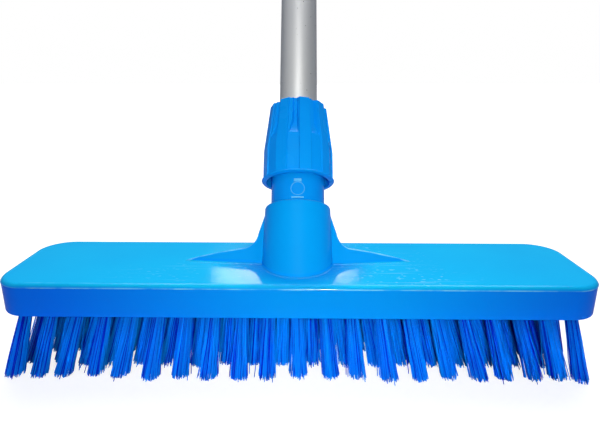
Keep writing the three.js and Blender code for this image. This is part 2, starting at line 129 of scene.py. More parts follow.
# Lean of the tufts along the block, in degrees, at shares of the row's half length
LEAN_SHARES = (-1, -0.73, -0.51, -0.33, 0, 0.2, 0.4, 0.66, 0.88, 1)
LEANS = (-18, -16, -14.5, -7, 0, 10, 13, 20, 18, 12.5)
INNER_ROWS_STEEPER = 1.15
OUTER_ROW_LEAN = math.radians(6)
LEAN_SCATTER = 0.02
HOLE_RADIUS = 0.0033
HOLE_DEPTH = 0.005
FILAMENTS_PER_TUFT = 112
FILAMENT_RADIUS = 0.00026
FILAMENT_SIDES = 5
FILAMENT_STEPS = 4
FILAMENT_EDGE_ANGLE = math.radians(75)
FILAMENT_BOW = 0.00018
ROOT_RADIUS = 0.00275
ROOT_DEPTH = 0.004
TIP_RADIUS = 0.0046
TIP_RADIUS_RANGE = (0.92, 1.1)
TIP_SCATTER = 0.00035
TIP_UNEVEN = 0.0006
STRAY_SHARE = 0.05
STRAY_RANGE = (0.0005, 0.003)
SHORT_SHARE = 0.06
SHORT_MOST = 0.002
SHADE_MIDDLE = 0.70
SHADE_SCATTER = 0.22
TUFT_SHADE_SCATTER = 0.06
# Share of filaments painted dark, as painted shadow between them
SHADOWED_SHARE = 0.16
FIRST_ROW_SEED = 100

# Neck
NECK_RADIUS = 0.01475
NECK_GROOVE = 0.0006
GROOVE_ABOVE_RIM = 0.0006
GROOVE_TOP = SOCKET_RIM_REACH + GROOVE_ABOVE_RIM
STUD_RADIUS = 0.0094
STUD_CORE_RADIUS = 0.006
STUD_THREAD_CREST = 0.011
STUD_THREAD_PITCH = 0.005
STUD_THREAD_TURNS = 3
STUD_LEAD = 0.002
TUBE_BORE_RADIUS = 0.0113
TUBE_FLOOR_ABOVE_SHOULDER = 0.004
CLAMP_THREAD_CREST = 0.0162
CLAMP_THREAD_PITCH = 0.004
CLAMP_THREAD_TURNS = 2
CLAMP_THREAD_BELOW_TOP = 0.003
THREAD_ROOT_SHARE = 0.44
THREAD_CREST_SHARE = 0.2
THREAD_STEPS = 40
MARK_REACH = 0.0366
MARK_RADIUS = 0.0036
MARK_WIRE = 0.00032
PIP_REACH = 0.0412
PIP_SIZE = (0.0040, 0.0012, 0.0018)
PIP_ROUND = 0.0005
BAR_REACH = 0.0317
BAR_SIZE = (0.0066, 0.0010, 0.0008)
BAR_ROUND = 0.0002
# Painted highlights on the raised ring, and on the pip and bar
RING_HIGHLIGHT_SHARE = 0.35
BAR_HIGHLIGHT_SHARE = 0.7

# Nut
PANEL_COUNT = 9
PANEL_HALF = math.pi / (2 * PANEL_COUNT)
PANEL_RECESS = 0.0008
STEP_HALF = math.radians(0.6)
NUT_TURN = math.radians(-7.7)
NUT_BEAD_RADIUS = 0.0204
NUT_SKIRT_RADIUS = 0.0198
NUT_RIBS_START = NUT_START + 0.0006
NUT_SHOULDER_REACH = 0.062
NUT_TOP_RADIUS = 0.0166
NUT_TOP_ROUND = 0.0010
NUT_UNDERCUT = 0.0005
NUT_EDGE_ROUND = 0.0002
NUT_MOUTH_RADIUS = 0.0178
NUT_MOUTH_DEPTH = 0.006
NUT_MOUTH_TAPER = 0.0002
NUT_MOUTH_STEP = 0.0004
NUT_THREAD_RADIUS = 0.0155
COLLET_TOP_RADIUS = 0.0132
# Painted highlight on the rounding at the top of the ribs
RIM_HIGHLIGHT_SHARE = 0.35
# The bead under the ribs, as (radius, height over the nut's start)
BEAD = (
    (NUT_MOUTH_RADIUS + 0.0004, -NUT_UNDERCUT),
    (NUT_BEAD_RADIUS - 0.0010, -NUT_UNDERCUT / 2),
    (NUT_BEAD_RADIUS - 0.0003, 0),
    (NUT_BEAD_RADIUS, 0.0004),
    (NUT_BEAD_RADIUS - 0.0002, 0.0007),
    (NUT_SKIRT_RADIUS - 0.0007, 0.0012),
)
# A slot from its top to its run-out, as (reach, radius of its floor, width to the left, width to the right)
SLOT_SECTIONS = (
    (NUT_TOP + 0.0015, 0.0140, 0.0008, 0.0007),
    (0.0760, 0.0151, 0.0007, 0.0006),
    (0.0700, 0.0168, 0.0026, 0.0014),
    (0.0668, 0.0187, 0.0036, 0.0018),
    (0.0643, 0.0199, 0.0041, 0.0020),
)
SLOT_SHIFT = math.radians(2.5)
SLOT_DEPTH = 0.006
SLOT_FLARE = 0.0034

# Tube, cap and rivet
TUBE_RADIUS = 0.011
TUBE_WALL = 0.0012
TUBE_EDGE_BREAK = 0.0003
CAP_RADIUS = 0.0118
CAP_COLLAR = 0.005
CAP_TAB_HALF = 0.0065
CAP_EYE_RADIUS = 0.005
CAP_ROUND = 0.0007
PLUG_RADIUS = 0.0095
RIVET_RADIUS = 0.002
RIVET_HEAD_RADIUS = 0.0034
RIVET_HEAD_HEIGHT = 0.0009
RIVET_DEPTH = 0.014
# The rivet's head, as shares of its radius and height
RIVET_DOME = ((1, 0), (0.9, 0.55), (0.6, 0.9), (0.2, 1))

# Shared by several pieces
CHAMFER = 0.001
CUT_PAST = 0.001
SMOOTH_SIDES = 96
TURN_SIDES = 64
PIN_SIDES = 32
SAME_PLACE = 1e-5
SLIVER = 3e-6
LOOKS_UP = 0.9


# Modelling tools
def deselect():
    bpy.ops.object.select_all(action="DESELECT")


def take(piece):
    """Selects only this piece and makes it the active one."""
    deselect()
    piece.select_set(True)
    bpy.context.view_layer.objects.active = piece


def keep(name):
    """Names the primitive just added and puts its place into its mesh."""
    piece = bpy.context.object
    piece.name = name
    piece.data.name = name
    take(piece)
    bpy.ops.object.transform_apply(location=True, rotation=True, scale=True)
    return piece


@contextmanager
def editing(piece, mode="FACE"):
    """Opens a piece in edit mode for the lines inside."""
    take(piece)
    bpy.ops.object.mode_set(mode="EDIT")
    bpy.ops.mesh.select_mode(type=mode)
    yield
    bpy.ops.object.mode_set(mode="OBJECT")


def pick(piece, kind, test):
    """Selects the edges or faces, in edit mode, that pass the test."""
    bpy.ops.mesh.select_all(action="DESELECT")
    mesh = bmesh.from_edit_mesh(piece.data)
    for element in getattr(mesh, kind):
        if test(element):
            element.select_set(True)
    bmesh.update_edit_mesh(piece.data)


def edge_at_height(height):
    return lambda edge: all(abs(vertex.co.z - height) < SAME_PLACE for vertex in edge.verts)


def face_outwards(piece):
    """Merges double points and turns all faces outwards."""
    with editing(piece):
        bpy.ops.mesh.select_all(action="SELECT")
        bpy.ops.mesh.remove_doubles(threshold=SAME_PLACE / 10)
        bpy.ops.mesh.normals_make_consistent(inside=False)


def turned(name, profile, sides=TURN_SIDES, closed=False):
    """A round piece about Z: a circle is extruded through the profile's (radius, height) points."""
    radius, height = profile[0]
    fill = "NOTHING" if closed else "NGON"
    deselect()
    bpy.ops.mesh.primitive_circle_add(
        vertices=sides, radius=radius, fill_type=fill, location=(0, 0, height))
    piece = keep(name)
    with editing(piece, "VERT"):
        bpy.ops.mesh.select_all(action="SELECT")
        for next_radius, next_height in profile[1:]:
            growth = next_radius / radius
            rise = (0, 0, next_height - height)
            bpy.ops.mesh.extrude_region_move(TRANSFORM_OT_translate={"value": rise})
            bpy.ops.transform.resize(value=(growth, growth, 1), center_override=(0, 0, next_height))
            radius, height = next_radius, next_height
    face_outwards(piece)
    return piece


def arc(centre, radius, start, stop, steps):
    """Points of a round corner in a profile, from one angle to another, in degrees."""
    points = []
    for step in range(steps + 1):
        angle = math.radians(start + (stop - start) * step / steps)
        points.append((centre[0] + radius * math.cos(angle), centre[1] + radius * math.sin(angle)))
    return points


def curve(start, control, stop, steps):
    """Points of a curve that leaves its first point towards the control point and ends at the last."""
    points = []
    for step in range(steps + 1):
        share = step / steps
        points.append(tuple(
            (1 - share) ** 2 * a + 2 * share * (1 - share) * b + share ** 2 * c
            for a, b, c in zip(start, control, stop)
        ))
    return points


def lofted(name, rings):
    """A solid skinned over rings of points, closed at both ends."""
    sides = len(rings[0])
    points = [point for ring in rings for point in ring]
    faces = [tuple(range(sides)), tuple(range(len(points) - sides, len(points)))]
    for ring in range(len(rings) - 1):
        for side in range(sides):
            start = ring * sides + side
            after = ring * sides + (side + 1) % sides
            faces.append((start, after, after + sides, start + sides))
    mesh = bpy.data.meshes.new(name)
    mesh.from_pydata(points, [], faces)
    piece = bpy.data.objects.new(name, mesh)
    bpy.context.scene.collection.objects.link(piece)
    face_outwards(piece)
    return piece


def settle(piece, change):
    """Applies a modifier."""
    take(piece)
    bpy.ops.object.modifier_apply(modifier=change.name)


def combine(piece, tool, operation):
    change = piece.modifiers.new(operation, "BOOLEAN")
    change.operation = operation
    change.solver = "EXACT"
    change.object = tool
    settle(piece, change)
    bpy.data.objects.remove(tool)


def join(piece, tool):
    combine(piece, tool, "UNION")


def cut(piece, tool):
    combine(piece, tool, "DIFFERENCE")


def clean(piece):
    """Removes slivers that cuts leave behind."""
    with editing(piece):
        bpy.ops.mesh.select_all(action="SELECT")
        bpy.ops.mesh.remove_doubles(threshold=SLIVER)
        bpy.ops.mesh.dissolve_degenerate(threshold=SLIVER)


def soften(piece, width, angle, segments=3):
    """Rounds every edge sharper than the angle, in degrees."""
    change = piece.modifiers.new("soften", "BEVEL")
    change.width = width
    change.segments = segments
    change.limit_method = "ANGLE"
    change.angle_limit = math.radians(angle)
    change.use_clamp_overlap = True
    settle(piece, change)


def smooth(piece, angle=35):
    """Smooth shading that keeps edges sharper than the angle and holds flat faces flat."""
    take(piece)
    bpy.ops.object.shade_smooth_by_angle(angle=math.radians(angle))
    change = piece.modifiers.new("flat faces", "WEIGHTED_NORMAL")
    change.keep_sharp = True
    settle(piece, change)


def stand(piece):
    """Sets a piece that is drawn upright on the handle's axis."""
    piece.matrix_world = HANDLE_FRAME
    take(piece)
    bpy.ops.object.transform_apply(location=True, rotation=True, scale=True)


def box(name, size, place):
    deselect()
    bpy.ops.mesh.primitive_cube_add(size=1, location=place, scale=size)
    return keep(name)


def cross_pin(name, radius, half_length, reach):
    """A cylinder across the handle, along X."""
    deselect()
    bpy.ops.mesh.primitive_cylinder_add(
        vertices=PIN_SIDES, radius=radius, depth=2 * half_length,
        location=(0, 0, reach), rotation=(0, math.pi / 2, 0))
    return keep(name)


def thread(name, root, crest, pitch, start, turns):
    """A screw ridge: its section is swept round Z and rises one pitch per turn."""
    deselect()
    bpy.ops.mesh.primitive_plane_add(size=1)
    ridge = keep(name)
    root_half = THREAD_ROOT_SHARE * pitch / 2
    crest_half = THREAD_CREST_SHARE * pitch / 2
    for vertex in ridge.data.vertices:
        outer = vertex.co.x > 0
        half = crest_half if outer else root_half
        height = half if vertex.co.y > 0 else -half
        vertex.co = (crest if outer else root - SEAT_GAP, 0, start + height)
    with editing(ridge):
        bpy.ops.mesh.select_all(action="SELECT")
        bpy.ops.mesh.delete(type="ONLY_FACE")
    sweep = ridge.modifiers.new("sweep", "SCREW")
    sweep.axis = "Z"
    sweep.angle = 2 * math.pi
    sweep.screw_offset = pitch
    sweep.iterations = turns
    sweep.steps = THREAD_STEPS
    sweep.render_steps = THREAD_STEPS
    settle(ridge, sweep)
    with editing(ridge):
        bpy.ops.mesh.select_all(action="SELECT")
        bpy.ops.mesh.fill_holes(sides=0)
    face_outwards(ridge)
    return ridge


# Block
def lip_profile():
    """From the parting step to the top face, as (inset, height): a tight edge, then a long soft round."""
    foot = BLOCK_TOP - LIP_HEIGHT
    edge = arc((PARTING_EDGE, foot + PARTING_EDGE), PARTING_EDGE, start=270, stop=145, steps=5)
    crown = curve(edge[-1], (LIP_RUN * LIP_PULL, BLOCK_TOP), (LIP_RUN, BLOCK_TOP), steps=8)
    return edge + crown[1:] + [(LIP_RUN + LIP_STRIP, BLOCK_TOP)]


def plate():
    """The block's body: a box with round corners, whose top face is extruded through the lip."""
    wall = BLOCK_TOP - UNDERSIDE - LIP_HEIGHT
    size = (2 * (HALF_LENGTH - PARTING_STEP), 2 * (HALF_WIDTH - PARTING_STEP), wall)
    piece = box("block", size, (0, 0, UNDERSIDE + wall / 2))
    inset = PARTING_STEP
    height = UNDERSIDE + wall
    with editing(piece, "EDGE"):
        pick(piece, "edges", lambda edge: abs(edge.verts[0].co.z - edge.verts[1].co.z) > wall / 2)
        bpy.ops.mesh.bevel(offset=PLATE_CORNER, segments=18, affect="EDGES")
        bpy.ops.mesh.select_mode(type="FACE")
        pick(piece, "faces", lambda face: face.normal.z > LOOKS_UP)
        for next_inset, next_height in lip_profile():
            growth_x = (HALF_LENGTH - next_inset) / (HALF_LENGTH - inset)
            growth_y = (HALF_WIDTH - next_inset) / (HALF_WIDTH - inset)
            rise = (0, 0, next_height - height)
            bpy.ops.mesh.extrude_region_move(TRANSFORM_OT_translate={"value": rise})
            bpy.ops.transform.resize(value=(growth_x, growth_y, 1), center_override=(0, 0, next_height))
            inset, height = next_inset, next_height
        bpy.ops.mesh.select_mode(type="EDGE")
        pick(piece, "edges", edge_at_height(UNDERSIDE))
        bpy.ops.mesh.bevel(offset=UNDER_ROUND, segments=2, affect="EDGES")
    face_outwards(piece)
    return piece


def on_handle(x, y, reach):
    """A point given across and along the handle's axis."""
    return HANDLE_FRAME @ Vector((x, y, reach))


def flared_foot(foot, outward, upward, size):
    """A line from under the plate, out of its top face and up a wall through a concave fillet."""
    sunk = foot - Vector((0, 0, FILLET_SINK))
    start = sunk + outward * size
    under = start - Vector((0, 0, FOOT_DEPTH))
    return [under] + [Vector(point) for point in curve(start, sunk, foot + upward * size, steps=6)]


def socket_line(angle):
    """One line up the socket, from its flared foot to its rounded rim."""
    across = math.cos(angle)
    along = math.sin(angle)
    tilt = along * math.tan(LEAN)
    radius_at_top = SOCKET_RIM_RADIUS + SOCKET_SLOPE * SOCKET_RIM_REACH
    foot_reach = radius_at_top * tilt / (1 + SOCKET_SLOPE * tilt)
    round_centre = (SOCKET_RIM_RADIUS - SOCKET_ROUND, SOCKET_RIM_REACH - SOCKET_ROUND)
    profile = [(radius_at_top - SOCKET_SLOPE * foot_reach, foot_reach)]
    profile += arc(round_centre, SOCKET_ROUND, start=0, stop=90, steps=5)
    foot, *rim = [on_handle(radius * across, radius * along, reach) for radius, reach in profile]
    outward = Vector((foot.x, foot.y, 0)).normalized()
    return flared_foot(foot, outward, (rim[0] - foot).normalized(), FOOT_FILLET) + rim


def socket():
    lines = [socket_line(2 * math.pi * side / SMOOTH_SIDES) for side in range(SMOOTH_SIDES)]
    return lofted("socket", list(zip(*lines)))


def wing_ring(x, ridge):
    """Section of a wing: flared feet, sides that lean together and a rounded ridge."""
    widest = WING_FOOT_HALF * (1 - (abs(x) / WING_TIP[0]) ** WING_FOOT_POWER) + WING_TIP_HALF
    ridge_half = min(WING_RIDGE_HALF, widest / 2)
    side_top = ridge - ridge_half
    slope = (widest - ridge_half) / (side_top + widest * math.tan(LEAN))
    crest = arc((0, side_top), ridge_half, start=0, stop=75, steps=4)
    fillet = min(FOOT_FILLET, max(0, ridge) / 2)
    lines = []
    for side in (-1, 1):
        half = (ridge_half + slope * side_top) / (1 + side * slope * math.tan(LEAN))
        foot = on_handle(x, side * half, side * half * math.tan(LEAN))
        rim = [on_handle(x, side * y, reach) for y, reach in crest]
        upward = (rim[0] - foot).normalized()
        lines.append(flared_foot(foot, Vector((0, side, 0)), upward, fillet) + rim)
    front, back = lines
    sink = Vector((0, 0, WING_TIP_SINK * (abs(x) / WING_TIP[0]) ** WING_TIP_SINK_POWER))
    return [point - sink for point in front + back[::-1]]


def wing_ridge():
    """The ridge from the tip to the socket, as (distance along X, reach)."""
    slope = curve(WING_TIP, WING_SWELL, WING_KNEE, steps=8)
    bend = curve(WING_KNEE, WING_BEND, WING_CURVE, steps=8)
    return slope + bend[1:] + [WING_TOP]


def wing(side):
    rings = [wing_ring(side * distance, height) for distance, height in wing_ridge()]
    return lofted("wing", rings + [wing_ring(0, WING_TOP[1])])


def socket_bore():
    """The tool for the threaded bore and the counterbore that takes the washer."""
    floor = SOCKET_RIM_REACH - COUNTERBORE_DEPTH
    tool = turned("bore", [
        (BORE_RADIUS, BORE_BOTTOM),
        (BORE_RADIUS, floor),
        (COUNTERBORE_RADIUS, floor),
        (COUNTERBORE_RADIUS, SOCKET_RIM_REACH + SOCKET_ROUND),
    ], SMOOTH_SIDES)
    stand(tool)
    return tool


def tuft_places(row):
    """Where each tuft of a row comes out of the block, and how far it leans along X and Y."""
    count = LONG_ROW_COUNT - row % 2
    middle = (ROW_COUNT - 1) / 2
    lean_y = OUTER_ROW_LEAN * (row - middle) / middle
    steeper = INNER_ROWS_STEEPER if 0 < row < ROW_COUNT - 1 else 1.0
    places = []
    for index in range(count):
        x = (index - (count - 1) / 2) * TUFT_PITCH
        share = x / (HALF_LENGTH - TUFT_END_MARGIN)
        lean_x = math.radians(steeper * float(np.interp(share, LEAN_SHARES, LEANS)))
        places.append((x, (row - middle) * ROW_PITCH, lean_x, lean_y))
    return places


def tuft_holes():
    """All the tuft holes as one tool: one is modelled and copied."""
    deselect()
    bpy.ops.mesh.primitive_cylinder_add(vertices=12, radius=HOLE_RADIUS, depth=2 * HOLE_DEPTH)
    first = keep("holes")
    holes = []
    for row in range(ROW_COUNT):
        for x, y, lean_x, lean_y in tuft_places(row):
            hole = first.copy()
            hole.data = first.data.copy()
            lean = Matrix.Rotation(lean_x, 4, "Y") @ Matrix.Rotation(-lean_y, 4, "X")
            hole.data.transform(Matrix.Translation((x, y, UNDERSIDE)) @ lean)
            bpy.context.scene.collection.objects.link(hole)
            holes.append(hole)
    bpy.data.objects.remove(first)
    take(holes[0])
    for hole in holes:
        hole.select_set(True)
    bpy.ops.object.join()
    return bpy.context.object


def rub(piece, share):
    """Keeps how strong each point's painted highlight is, as an attribute."""
    marks = piece.data.attributes.new("rub", "FLOAT", "POINT")
    for vertex, mark in zip(piece.data.vertices, marks.data):
        mark.value = share(vertex.co)


def painted_face_highlight(piece, share):
    """Keeps how strong each face's painted highlight is, as an attribute."""
    marks = piece.data.attributes.new("rub", "FLOAT", "FACE")
    for face, mark in zip(piece.data.polygons, marks.data):
        mark.value = share(face.center)


def edge_highlight():
    """How strong a point's painted highlight is: on the parting edge, the wings' ridges and the lip's end.
    """
    to_handle = HANDLE_FRAME.inverted()
    parting = BLOCK_TOP - LIP_HEIGHT + PARTING_EDGE
    ridge = [Vector(point) for point in wing_ridge()]
    lip_x = HALF_LENGTH - LIP_RUN
    lip_y = HALF_WIDTH - LIP_RUN

    def share(place):
        x, y, reach = to_handle @ place
        if abs(place.z - parting) < EDGE_HIGHLIGHT_HALF:
            return 1.0
        from_lip = min(abs(abs(place.x) - lip_x), abs(abs(place.y) - lip_y))
        if max(from_lip, abs(place.z - BLOCK_TOP)) < SAME_PLACE:
            return LIP_HIGHLIGHT_SHARE
        spot = Vector((abs(x), reach))
        near_ridge = min((spot - point).length for point in ridge) < RIDGE_HIGHLIGHT_HALF
        clear_of_socket = abs(x) > WING_BEND[0] and place.z > BLOCK_TOP + WING_RIDGE_HALF / 2
        return 1.0 if near_ridge and clear_of_socket and abs(y) < WING_RIDGE_HALF else 0.0

    return share


def block():
    piece = plate()
    join(piece, socket())
    join(piece, wing(1))
    join(piece, wing(-1))
    cut(piece, socket_bore())
    cut(piece, tuft_holes())
    clean(piece)
    rub(piece, edge_highlight())
    smooth(piece)
    return piece


# Tufts
def filaments(name, places, seed):
    """Tufts of round filaments, packed at the root, spread towards the tip and cut nearly level."""
    draw = np.random.default_rng(seed)
    golden_turn = math.pi * (3 - math.sqrt(5))
    shares = np.linspace(0, 1, FILAMENT_STEPS + 1)[:, None]
    index = np.arange(FILAMENTS_PER_TUFT)
    paths = []
    tones_and_shadows = []
    for x, y, lean_x, lean_y in places:
        angle = index * golden_turn + draw.uniform(0, 2 * math.pi)
        offset = np.sqrt((index + 0.5) / FILAMENTS_PER_TUFT)
        spot = np.stack([offset * np.cos(angle), offset * np.sin(angle)], axis=1)
        tuft_lean = np.tan([lean_x + draw.normal(0, LEAN_SCATTER), lean_y + draw.normal(0, LEAN_SCATTER)])
        spread = TIP_RADIUS * draw.uniform(*TIP_RADIUS_RANGE)
        root = np.array([x, y]) + ROOT_RADIUS * spot
        tip = np.array([x, y]) + UNDERSIDE * tuft_lean + spread * spot
        tip += draw.normal(0, TIP_SCATTER, spot.shape)
        stray = draw.random(FILAMENTS_PER_TUFT) < STRAY_SHARE
        tip += stray[:, None] * spot * draw.uniform(*STRAY_RANGE, (FILAMENTS_PER_TUFT, 1))
        tip_height = draw.uniform(0, TIP_UNEVEN, FILAMENTS_PER_TUFT)
        short = draw.random(FILAMENTS_PER_TUFT) < SHORT_SHARE
        tip_height += short * draw.uniform(0, SHORT_MOST, FILAMENTS_PER_TUFT)
        bow = draw.normal(0, FILAMENT_BOW, (FILAMENTS_PER_TUFT, FILAMENT_STEPS + 1, 2))
        for filament in index:
            level = root[filament] * (1 - shares) + tip[filament] * shares + bow[filament] * np.sqrt(shares)
            height = (UNDERSIDE + ROOT_DEPTH) * (1 - shares) + tip_height[filament] * shares
            paths.append(np.hstack([level, height]))
        shade = draw.normal(SHADE_MIDDLE, SHADE_SCATTER, FILAMENTS_PER_TUFT)
        shade = np.clip(shade + draw.normal(0, TUFT_SHADE_SCATTER), 0, 1)
        # Some filaments are painted dark, as painted shadow
        tones_and_shadows.append(shade * (draw.random(FILAMENTS_PER_TUFT) > SHADOWED_SHARE))
    return filament_mesh(name, np.array(paths), np.concatenate(tones_and_shadows))


def filament_mesh(name, paths, tones_and_shadows):
    """Skins each path with a thin closed tube, and keeps each filament's tone and painted shadow as an
    attribute.
    """
    count, rings, _ = paths.shape
    turns = np.arange(FILAMENT_SIDES) * 2 * math.pi / FILAMENT_SIDES
    circle = FILAMENT_RADIUS * np.stack([np.cos(turns), np.sin(turns), 0 * turns], axis=1)
    points = (paths[:, :, None, :] + circle).reshape(-1, 3)
    faces = []
    for filament in range(count):
        start = filament * rings * FILAMENT_SIDES
        last = start + (rings - 1) * FILAMENT_SIDES
        for ring in range(rings - 1):
            for side in range(FILAMENT_SIDES):
                here = start + ring * FILAMENT_SIDES + side
                clear_of_shadow = start + ring * FILAMENT_SIDES + (side + 1) % FILAMENT_SIDES
                faces.append((here, here + FILAMENT_SIDES, clear_of_shadow + FILAMENT_SIDES, clear_of_shadow))
        faces.append(tuple(range(start, start + FILAMENT_SIDES)))
        faces.append(tuple(reversed(range(last, last + FILAMENT_SIDES))))
    mesh = bpy.data.meshes.new(name)
    mesh.from_pydata(points.tolist(), [], faces)
    shade = mesh.attributes.new("shade", "FLOAT", "POINT")
    shade.data.foreach_set("value", np.repeat(tones_and_shadows, rings * FILAMENT_SIDES).astype(np.float32))
    piece = bpy.data.objects.new(name, mesh)
    bpy.context.scene.collection.objects.link(piece)
    take(piece)
    bpy.ops.object.shade_smooth_by_angle(angle=FILAMENT_EDGE_ANGLE)
    return piece


# Neck
def wrap_round(piece, radius):
    """Bends a piece that is drawn flat in front of the neck onto its round face."""
    for vertex in piece.data.vertices:
        vertex.co.y += radius - math.sqrt(radius ** 2 - vertex.co.x ** 2)


def raised_mark():
    """The raised ring on the front of the neck."""
    deselect()
    bpy.ops.mesh.primitive_torus_add(
        major_radius=MARK_RADIUS, minor_radius=MARK_WIRE, major_segments=48, minor_segments=8,
        location=(0, -NECK_RADIUS, MARK_REACH), rotation=(math.pi / 2, 0, 0))
    mark = keep("mark")
    wrap_round(mark, NECK_RADIUS)
    return mark


def raised_bar(size, reach, round_width):
    """A small raised bar on the front of the neck."""
    bar = box("bar", size, (0, -NECK_RADIUS, reach))
    with editing(bar, "EDGE"):
        bpy.ops.mesh.select_all(action="SELECT")
        bpy.ops.mesh.subdivide(number_cuts=3)
    soften(bar, round_width, angle=30)
    wrap_round(bar, NECK_RADIUS)
    return bar


def mark_highlight(place):
    """How strong a point's painted highlight is on the neck: only the raised marks at its front."""
    raised = math.hypot(place.x, place.y) > NECK_RADIUS + SAME_PLACE
    if not raised or place.y > 0 or place.z > PIP_REACH + PIP_SIZE[2]:
        return 0.0
    on_ring = math.hypot(place.x, place.z - MARK_REACH) < MARK_RADIUS + 2 * MARK_WIRE
    return RING_HIGHLIGHT_SHARE if on_ring else BAR_HIGHLIGHT_SHARE


def neck():
    shoulder = SEAL_TOP + SEAT_GAP
    piece = turned("neck", [
        (STUD_CORE_RADIUS, shoulder),
        (STUD_CORE_RADIUS, STUD_TIP),
        (STUD_RADIUS - CHAMFER, STUD_TIP),
        (STUD_RADIUS, STUD_TIP + CHAMFER),
        (STUD_RADIUS, shoulder),
        (NECK_RADIUS - NECK_GROOVE, shoulder),
        (NECK_RADIUS - NECK_GROOVE, GROOVE_TOP),
        (NECK_RADIUS, GROOVE_TOP),
        (NECK_RADIUS, NECK_TOP - CHAMFER),
        (NECK_RADIUS - CHAMFER, NECK_TOP),
        (TUBE_BORE_RADIUS, NECK_TOP),
        (TUBE_BORE_RADIUS, shoulder + TUBE_FLOOR_ABOVE_SHOULDER),
    ], SMOOTH_SIDES)
    stud_start = STUD_TIP + STUD_LEAD
    join(piece, thread(
        "stud thread", STUD_RADIUS, STUD_THREAD_CREST, STUD_THREAD_PITCH,
        stud_start, STUD_THREAD_TURNS))
    clamp_start = NECK_TOP - CLAMP_THREAD_BELOW_TOP - CLAMP_THREAD_TURNS * CLAMP_THREAD_PITCH
    join(piece, thread(
        "clamp thread", NECK_RADIUS, CLAMP_THREAD_CREST, CLAMP_THREAD_PITCH,
        clamp_start, CLAMP_THREAD_TURNS))
    join(piece, raised_mark())
    join(piece, raised_bar(PIP_SIZE, PIP_REACH, PIP_ROUND))
    join(piece, raised_bar(BAR_SIZE, BAR_REACH, BAR_ROUND))
    rub(piece, mark_highlight)
    stand(piece)
    smooth(piece)
    return piece


# Nut
def slot_ring(reach, floor, left, right):
    """Section of a slot at the front of the nut, open outwards."""
    return [
        (-left, -floor, reach),
        (right, -floor, reach),
        (right + SLOT_FLARE, -floor - SLOT_DEPTH, reach),
        (-left - SLOT_FLARE, -floor - SLOT_DEPTH, reach),
    ]


def slot(angle):
    """A slot with a narrow floor that runs out over a ramp, which widens to one side."""
    tool = lofted("slot", [slot_ring(*section) for section in SLOT_SECTIONS])
    tool.data.transform(Matrix.Rotation(angle, 4, "Z"))
    return tool


def bead():
    """The round bead under the ribs."""
    return turned("bead", [(radius, NUT_START + height) for radius, height in BEAD], SMOOTH_SIDES)


def nut_ring(radius, reach):
    """Section of the nut: flat ribs, and flat panels between them that are set in by a small step."""
    corner = PANEL_HALF - STEP_HALF
    rib_corner = radius * math.cos(PANEL_HALF) / math.cos(corner)
    panel_corner = rib_corner - PANEL_RECESS
    outline = [
        (panel_corner, -corner),
        (panel_corner, corner),
        (rib_corner, 2 * PANEL_HALF - corner),
        (rib_corner, 2 * PANEL_HALF + corner),
    ]
    points = []
    for panel in range(PANEL_COUNT):
        for distance, offset in outline:
            angle = NUT_TURN + 4 * PANEL_HALF * panel + offset
            points.append((distance * math.sin(angle), -distance * math.cos(angle), reach))
    return points


def rim_highlight(place):
    """How strong a face's painted highlight is on the nut: only the ribs' rounding at the top."""
    outside = math.hypot(place.x, place.y) > NUT_TOP_RADIUS - NUT_TOP_ROUND
    at_top = NUT_TOP - NUT_TOP_ROUND / 2 < place.z < NUT_TOP - SAME_PLACE
    return RIM_HIGHLIGHT_SHARE if outside and at_top else 0.0


def nut_hollow():
    """The tool for the skirt's mouth, the threaded part, the collet's cone and the tube's way out."""
    mouth_top = NUT_START + NUT_MOUTH_DEPTH
    return turned("hollow", [
        (NUT_MOUTH_RADIUS, NUT_START - 2 * NUT_UNDERCUT),
        (NUT_MOUTH_RADIUS - NUT_MOUTH_TAPER, mouth_top),
        (NUT_THREAD_RADIUS, mouth_top + NUT_MOUTH_STEP),
        (NUT_THREAD_RADIUS, COLLET_START - SEAT_GAP),
        (COLLET_TOP_RADIUS, COLLET_END + SEAT_GAP),
        (TUBE_BORE_RADIUS, COLLET_END + SEAT_GAP),
        (TUBE_BORE_RADIUS, NUT_TOP + CUT_PAST),
    ])


def nut():
    top_centre = (NUT_TOP_RADIUS - NUT_TOP_ROUND, NUT_TOP - NUT_TOP_ROUND)
    profile = [(NUT_SKIRT_RADIUS, NUT_RIBS_START), (NUT_SKIRT_RADIUS, NUT_SHOULDER_REACH)]
    profile += arc(top_centre, NUT_TOP_ROUND, start=8, stop=90, steps=4)
    piece = lofted("nut", [nut_ring(radius, reach) for radius, reach in profile])
    for panel in range(PANEL_COUNT):
        cut(piece, slot(NUT_TURN + SLOT_SHIFT + 4 * PANEL_HALF * panel))
    clean(piece)
    soften(piece, NUT_EDGE_ROUND, angle=18, segments=2)
    clean(piece)
    join(piece, bead())
    cut(piece, nut_hollow())
    painted_face_highlight(piece, rim_highlight)
    stand(piece)
    smooth(piece, angle=25)
    return piece


# Tube, cap and rivet
def rivet_hole():
    """The tool for the hole that the rivet passes through."""
    return cross_pin("rivet hole", RIVET_RADIUS + SEAT_GAP, 2 * TUBE_RADIUS, TUBE_END - RIVET_DEPTH)


def tube():
    bore = TUBE_RADIUS - TUBE_WALL
    piece = turned("tube", [
        (bore, TUBE_START),
        (TUBE_RADIUS - TUBE_EDGE_BREAK, TUBE_START),
        (TUBE_RADIUS, TUBE_START + TUBE_EDGE_BREAK),
        (TUBE_RADIUS, TUBE_END - TUBE_EDGE_BREAK),
        (TUBE_RADIUS - TUBE_EDGE_BREAK, TUBE_END),
        (bore, TUBE_END),
        (bore, TUBE_START),
    ], closed=True)
    cut(piece, rivet_hole())
    stand(piece)
    smooth(piece)
    return piece


